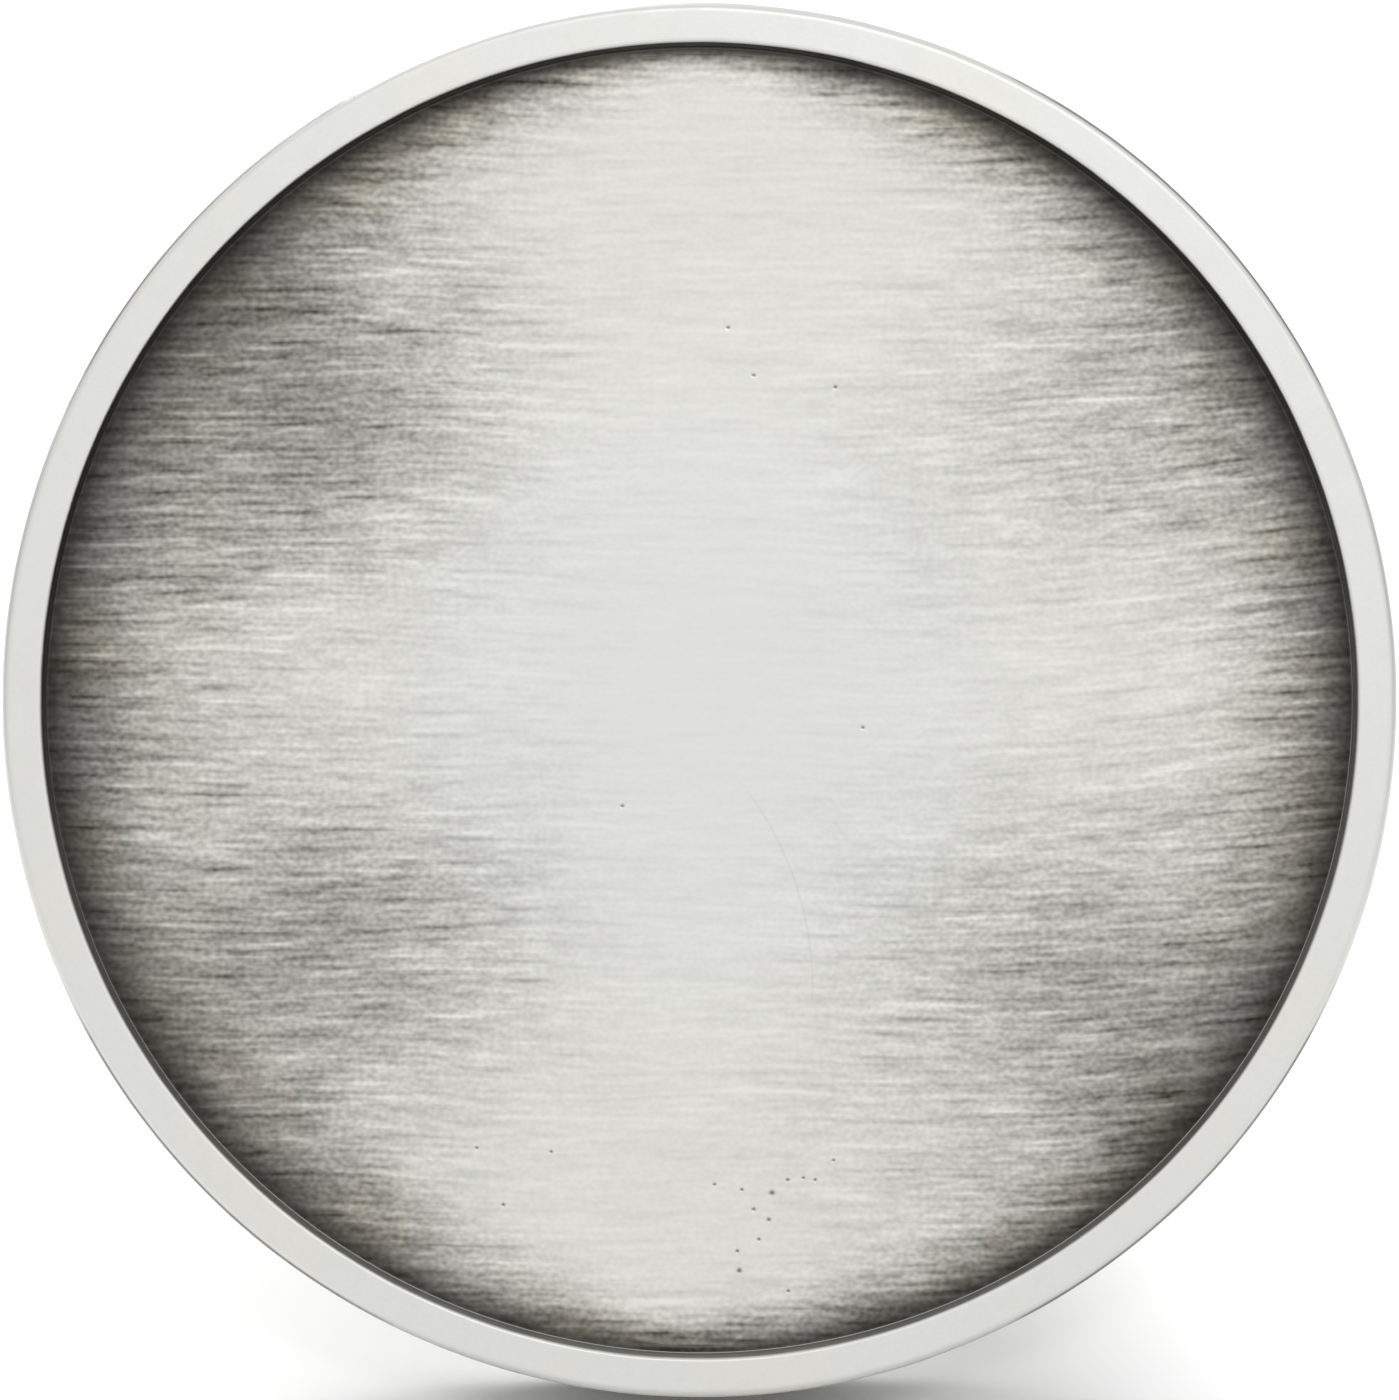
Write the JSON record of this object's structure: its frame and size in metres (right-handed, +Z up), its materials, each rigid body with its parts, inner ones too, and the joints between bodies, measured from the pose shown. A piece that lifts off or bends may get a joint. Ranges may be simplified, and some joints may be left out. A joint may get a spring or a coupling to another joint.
{
  "type": "coin display frame",
  "caption": "Round metal coin display frame: a shallow recess inside a narrow raised rim, held leaning back by a folding easel leg with a rubber foot.",
  "frame": {"origin": "on the surface that the frame stands on, under the middle of the bounding box with the leg open", "axes": "+Z up; the front of the frame faces -Y and leans back 20 degrees; +X across the face"},
  "size_m": [0.0508, 0.028, 0.0495],
  "materials": {
    "antique_silver": "satin antique silver over zinc alloy, dark in its corners",
    "brushed_silver": "brushed across, with dark patina left round the edge and in soft patches",
    "steel": "satin nickel-plated steel",
    "spring_steel": "dark phosphated spring steel",
    "nylon": "natural nylon",
    "foam": "closed-cell foam",
    "rubber": "matt moulded rubber"
  },
  "bodies": {
    "frame": {"bezel_ring": "antique_silver", "face_plate": "brushed_silver", "foam_pad": "foam", "rear_cover": "antique_silver", "cover_screws": "steel", "hinge_bracket": "steel", "bracket_rivets": "steel", "hinge_pin": "steel", "pin_clip": "spring_steel", "hinge_washers": "nylon"},
    "leg": {"easel_leg": "antique_silver", "leg_foot": "rubber"}
  },
  "joints": [
    {"name": "leg_fold", "type": "hinge", "parent": "frame", "child": "leg", "pos_m": [0, 0.00487, 0.03045], "axis": [-1, 0, 0], "range_deg": [0, 35]}
  ]
}
